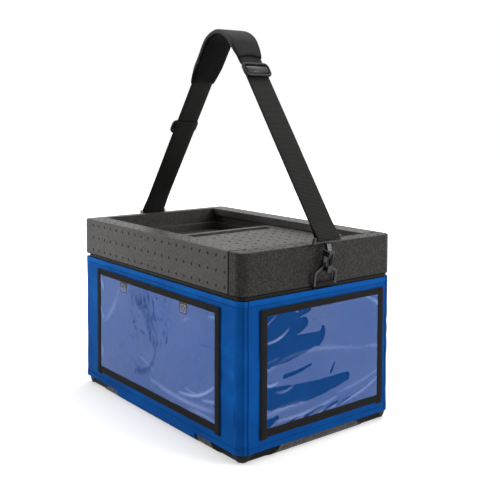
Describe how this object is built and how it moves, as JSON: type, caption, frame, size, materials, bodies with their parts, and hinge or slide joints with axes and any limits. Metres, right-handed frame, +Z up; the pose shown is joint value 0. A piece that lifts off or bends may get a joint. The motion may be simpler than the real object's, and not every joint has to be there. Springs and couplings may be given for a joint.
{
  "type": "vaccine carrier",
  "caption": "Insulated foam vaccine carrier with tray lid and sliding cover, fabric sleeve with clear document pockets, and padded shoulder strap on snap hooks.",
  "frame": {"origin": "on the floor under the centre of the box", "axes": "+Z up, +X along the long side towards the lid end block, -Y towards the front long side"},
  "size_m": [0.6568, 0.4048, 0.8289],
  "materials": {
    "foam": "beaded, matt, moulded foam grain",
    "sleeve_fabric": "tight plain weave, satin coated",
    "webbing": "ribbed woven webbing",
    "clear_film": "clear, glossy, slightly wavy",
    "binding_tape": "grosgrain tape",
    "closure_tab": "hook and loop tape",
    "black_metal": "satin black coated",
    "steel": "plain",
    "adjuster": "moulded, semi-gloss",
    "pad_fabric": "fine knit over foam, bound edge",
    "coolant_pack": "blow moulded, semi-gloss",
    "pack_cap": "moulded, ribbed"
  },
  "bodies": {
    "box": {"body": "foam", "sleeve": "sleeve_fabric", "base_sling": "sleeve_fabric", "corner_strap_front_right": "webbing", "corner_strap_front_left": "webbing", "corner_strap_back_right": "webbing", "corner_strap_back_left": "webbing", "pocket_film_front": "clear_film", "pocket_film_back": "clear_film", "pocket_film_right": "clear_film", "pocket_film_left": "clear_film", "pocket_binding_front": "binding_tape", "pocket_binding_back": "binding_tape", "pocket_binding_right": "binding_tape", "pocket_binding_left": "binding_tape", "pocket_tabs_front": "closure_tab", "pocket_tabs_back": "closure_tab", "d_ring_tab_right": "webbing", "d_ring_tab_left": "webbing", "ice_pack_1": "coolant_pack", "ice_pack_2": "coolant_pack", "ice_pack_3": "coolant_pack", "ice_pack_4": "coolant_pack", "ice_pack_5": "coolant_pack", "ice_pack_6": "coolant_pack", "ice_pack_7": "coolant_pack", "ice_pack_8": "coolant_pack", "ice_pack_9": "coolant_pack", "ice_pack_10": "coolant_pack", "ice_pack_11": "coolant_pack", "ice_pack_12": "coolant_pack", "ice_pack_caps": "pack_cap"},
    "lid": {"lid_frame": "foam", "lid_end_block": "foam"},
    "cover": {"sliding_cover": "foam"},
    "strap": {"strap_webbing": "webbing", "shoulder_pad": "pad_fabric", "hook_body_right": "black_metal", "hook_body_left": "black_metal", "hook_gate_pin_right": "steel", "hook_gate_pin_left": "steel", "gate_spring_right": "steel", "gate_spring_left": "steel"},
    "gate_right": {"hook_gate_right": "black_metal"},
    "ring_right": {"d_ring_right": "black_metal"},
    "adjuster_right": {"slider_right": "adjuster", "slider_wrap_right": "webbing"},
    "gate_left": {"hook_gate_left": "black_metal"},
    "ring_left": {"d_ring_left": "black_metal"},
    "adjuster_left": {"slider_left": "adjuster", "slider_wrap_left": "webbing"}
  },
  "joints": [
    {"name": "lid_lift", "type": "slide", "parent": "box", "child": "lid", "axis": [0, 0, 1], "range_m": [0, 0.012]},
    {"name": "cover_slide", "type": "slide", "parent": "lid", "child": "cover", "axis": [-1, 0, 0], "range_m": [0, 0.228]},
    {"name": "strap_swing", "type": "hinge", "parent": "box", "child": "strap", "pos_m": [0, 0, 0.34236], "axis": [1, 0, 0], "range_deg": [-20, 20]},
    {"name": "gate_swing_right", "type": "hinge", "parent": "strap", "child": "gate_right", "pos_m": [0.32377, 0, 0.37131], "axis": [0, 1, 0], "range_deg": [0, 14], "stiffness_Nm_per_rad": 0.05, "springref_deg": -11.46},
    {"name": "ring_tilt_right", "type": "hinge", "parent": "box", "child": "ring_right", "pos_m": [0.3065, 0, 0.3145], "axis": [0, 1, 0], "range_deg": [-2, 2]},
    {"name": "adjuster_slide_right", "type": "slide", "parent": "strap", "child": "adjuster_right", "axis": [-0.5664, 0, 0.8241], "range_m": [-0.25, 0]},
    {"name": "gate_swing_left", "type": "hinge", "parent": "strap", "child": "gate_left", "pos_m": [-0.32377, 0, 0.37131], "axis": [0, -1, 0], "range_deg": [0, 14], "stiffness_Nm_per_rad": 0.05, "springref_deg": -11.46},
    {"name": "ring_tilt_left", "type": "hinge", "parent": "box", "child": "ring_left", "pos_m": [-0.3065, 0, 0.3145], "axis": [0, -1, 0], "range_deg": [-2, 2]},
    {"name": "adjuster_slide_left", "type": "slide", "parent": "strap", "child": "adjuster_left", "axis": [0.5664, 0, 0.8241], "range_m": [-0.15, 0.08]}
  ]
}
